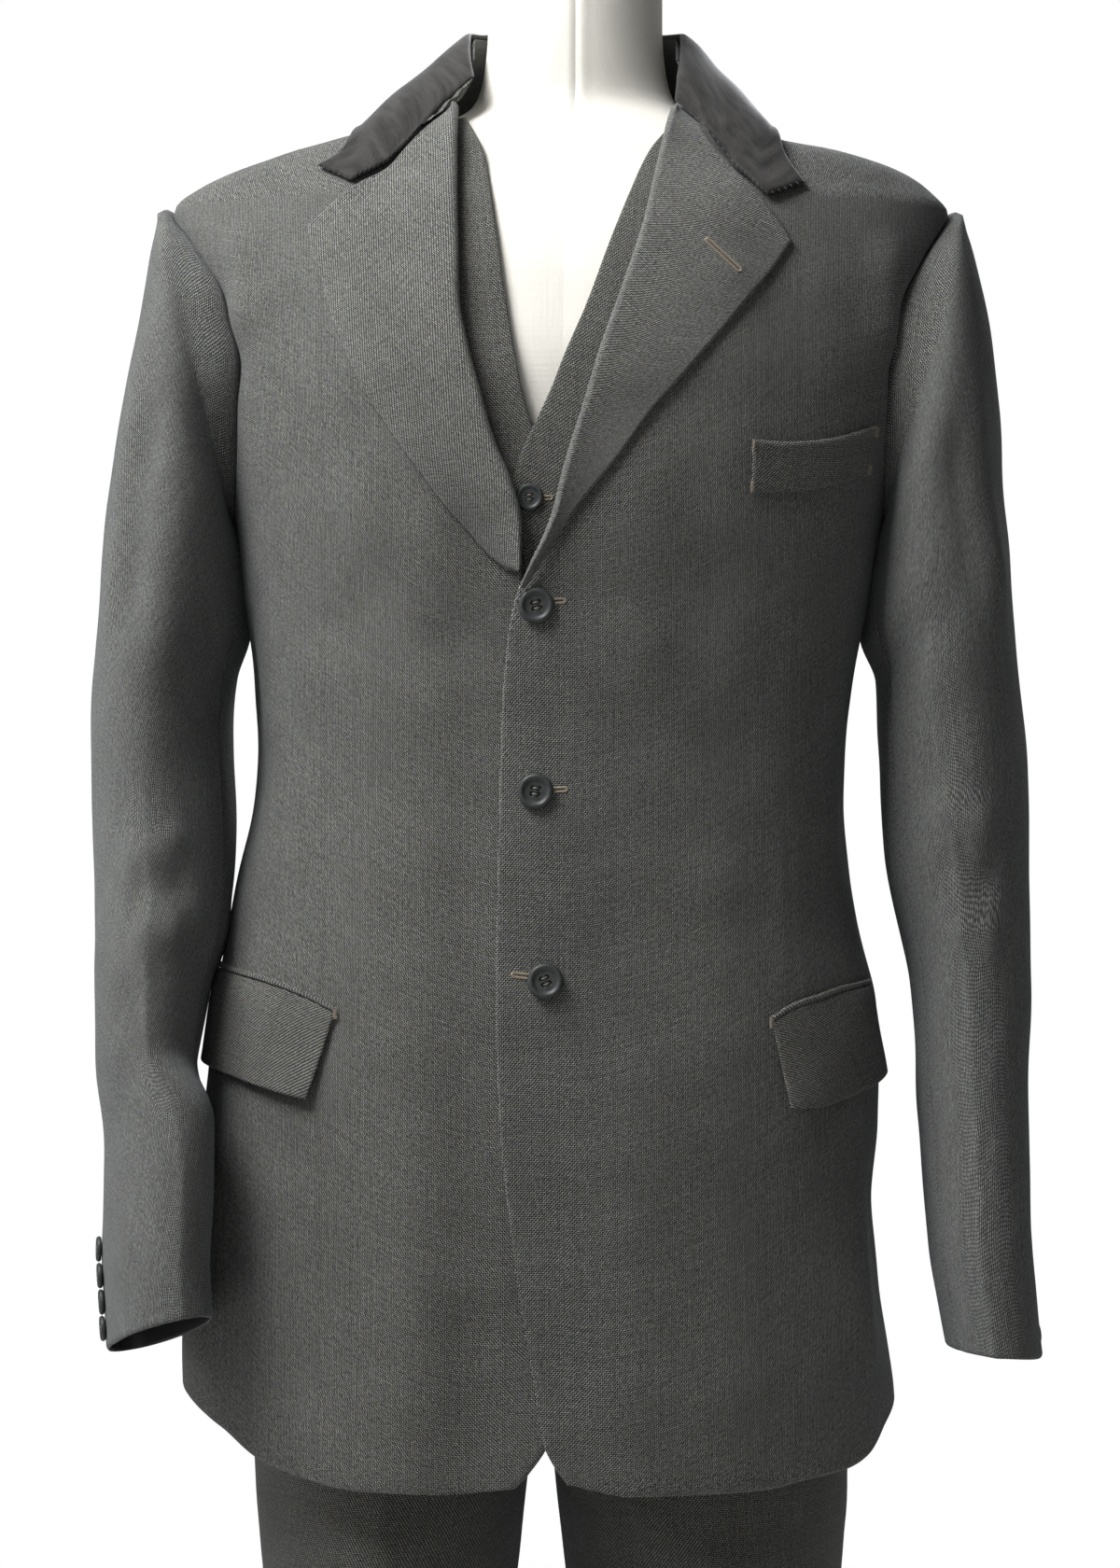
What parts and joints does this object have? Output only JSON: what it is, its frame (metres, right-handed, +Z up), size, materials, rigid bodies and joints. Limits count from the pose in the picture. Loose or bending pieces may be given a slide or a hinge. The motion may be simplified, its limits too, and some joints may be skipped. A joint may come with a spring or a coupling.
{
  "type": "three-piece suit on a dress form",
  "caption": "Buttoned notch-lapel jacket with a velvet collar over a waistcoat and pressed trousers, worn by a limbless linen dress form on a round stand.",
  "frame": {"origin": "on the floor, in the middle of the underside of the stand's round base", "axes": "+Z up through the suit, -Y out of its front, +X to the wearer's left"},
  "size_m": [0.5622, 0.38, 1.6083],
  "materials": {
    "jacket_cloth": "matt woollen sharkskin, charcoal with light grey flecks",
    "waistcoat_cloth": "the same woollen cloth as the jacket",
    "trouser_cloth": "the same woollen cloth, pressed",
    "collar_velvet": "cotton velvet, charcoal black",
    "form_linen": "plain linen stretched over a hard form",
    "neck_cap": "satin black lacquer",
    "stand_metal": "satin black",
    "buttons": "dark grey horn-like plastic, dull"
  },
  "bodies": {
    "root": {"chest_welt": "jacket_cloth", "coat_button_1": "buttons", "coat_button_2": "buttons", "coat_button_3": "buttons", "collar_stand": "jacket_cloth", "collar_velvet": "collar_velvet", "cuff_button_left_1": "buttons", "cuff_button_left_2": "buttons", "cuff_button_left_3": "buttons", "cuff_button_left_4": "buttons", "cuff_button_right_1": "buttons", "cuff_button_right_2": "buttons", "cuff_button_right_3": "buttons", "cuff_button_right_4": "buttons", "form_body": "form_linen", "form_neck_cap": "neck_cap", "jacket_back_left": "jacket_cloth", "jacket_back_right": "jacket_cloth", "jacket_front_left": "jacket_cloth", "jacket_front_right": "jacket_cloth", "jacket_lapel_left": "jacket_cloth", "jacket_lapel_right": "jacket_cloth", "jacket_top_sleeve_left": "jacket_cloth", "jacket_top_sleeve_right": "jacket_cloth", "jacket_under_sleeve_left": "jacket_cloth", "jacket_under_sleeve_right": "jacket_cloth", "pocket_flap_left": "jacket_cloth", "pocket_flap_right": "jacket_cloth", "pocket_jet_left": "jacket_cloth", "pocket_jet_right": "jacket_cloth", "stand_base": "stand_metal", "stand_pole": "stand_metal", "stand_socket": "stand_metal", "trouser_back_left": "trouser_cloth", "trouser_back_right": "trouser_cloth", "trouser_front_left": "trouser_cloth", "trouser_front_right": "trouser_cloth", "vest_button_1": "buttons", "vest_button_2": "buttons", "vest_button_3": "buttons", "vest_button_4": "buttons", "vest_button_5": "buttons", "vest_button_6": "buttons", "waistband_left": "trouser_cloth", "waistband_right": "trouser_cloth", "waistcoat_back": "waistcoat_cloth", "waistcoat_front_left": "waistcoat_cloth", "waistcoat_front_right": "waistcoat_cloth"}
  },
  "joints": []
}
